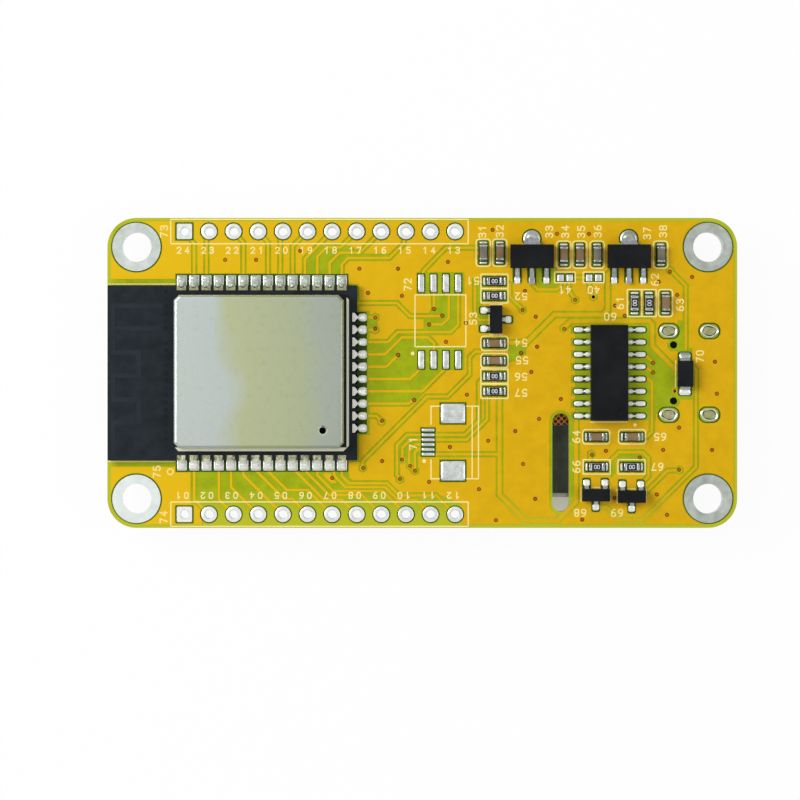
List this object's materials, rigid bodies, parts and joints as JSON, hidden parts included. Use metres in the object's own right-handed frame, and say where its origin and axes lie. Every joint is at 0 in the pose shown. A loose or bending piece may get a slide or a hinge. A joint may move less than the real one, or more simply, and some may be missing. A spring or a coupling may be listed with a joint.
{
  "type": "development board",
  "caption": "Yellow circuit board with a shielded Wi-Fi module, a serial chip, two regulators, empty header holes, and a display and USB socket beneath.",
  "frame": {"origin": "centre of the four corner holes, on the underside of the bare board", "axes": "+X along the board towards the USB socket, +Z out of the component side"},
  "size_m": [0.065, 0.032, 0.0079],
  "materials": {
    "board_laminate": "satin solder mask over bare laminate",
    "masked_copper": "satin yellow solder mask over copper",
    "tin_plating": "satin tin",
    "solder": "bright reflowed solder",
    "module_laminate": "matt black solder mask",
    "gold_land": "gold plated",
    "can_steel": "matt tinned sheet",
    "chip_moulding": "matt epoxy moulding",
    "capacitor_ceramic": "fired ceramic with tinned ends",
    "resistor_coat": "glassy coat with tinned ends",
    "lead_tin": "tinned lead frame",
    "socket_steel": "nickel plated sheet",
    "black_plastic": "moulded nylon",
    "tray_plastic": "white moulded plastic",
    "display_glass": "polished dark glass",
    "flex_film": "amber film over hatched copper",
    "foam_tape": "black foam tape"
  },
  "bodies": {
    "root": {"capacitor_1": "capacitor_ceramic", "capacitor_10": "capacitor_ceramic", "capacitor_11": "capacitor_ceramic", "capacitor_2": "capacitor_ceramic", "capacitor_3": "capacitor_ceramic", "capacitor_4": "capacitor_ceramic", "capacitor_5": "capacitor_ceramic", "capacitor_6": "capacitor_ceramic", "capacitor_7": "capacitor_ceramic", "capacitor_8": "capacitor_ceramic", "capacitor_9": "capacitor_ceramic", "circuit_board": "board_laminate", "clock_crystal": "can_steel", "copper_layer": "masked_copper", "display_backlight_tray": "tray_plastic", "display_flex": "flex_film", "display_foam_tape": "foam_tape", "display_glass": "display_glass", "display_light_guide": "tray_plastic", "flash_memory_chip": "chip_moulding", "header_hole_plating": "tin_plating", "module_board": "module_laminate", "module_contact_lands": "gold_land", "module_shield_can": "can_steel", "module_small_parts": "capacitor_ceramic", "module_solder_joints": "solder", "mounting_hole_plating": "tin_plating", "processor_chip": "chip_moulding", "rectifier_diode_body": "chip_moulding", "rectifier_diode_leads": "lead_tin", "resistor_1": "resistor_coat", "resistor_2": "resistor_coat", "resistor_3": "resistor_coat", "resistor_4": "resistor_coat", "resistor_5": "resistor_coat", "resistor_6": "resistor_coat", "resistor_7": "resistor_coat", "resistor_8": "resistor_coat", "surface_pads": "tin_plating", "transistor_1_body": "chip_moulding", "transistor_1_leads": "lead_tin", "transistor_2_body": "chip_moulding", "transistor_2_leads": "lead_tin", "transistor_3_body": "chip_moulding", "transistor_3_leads": "lead_tin", "usb_contacts": "gold_land", "usb_insulator": "black_plastic", "usb_serial_chip_body": "chip_moulding", "usb_serial_chip_leads": "lead_tin", "usb_shell": "socket_steel", "voltage_regulator_1_body": "chip_moulding", "voltage_regulator_1_leads": "lead_tin", "voltage_regulator_2_body": "chip_moulding", "voltage_regulator_2_leads": "lead_tin"}
  },
  "joints": []
}
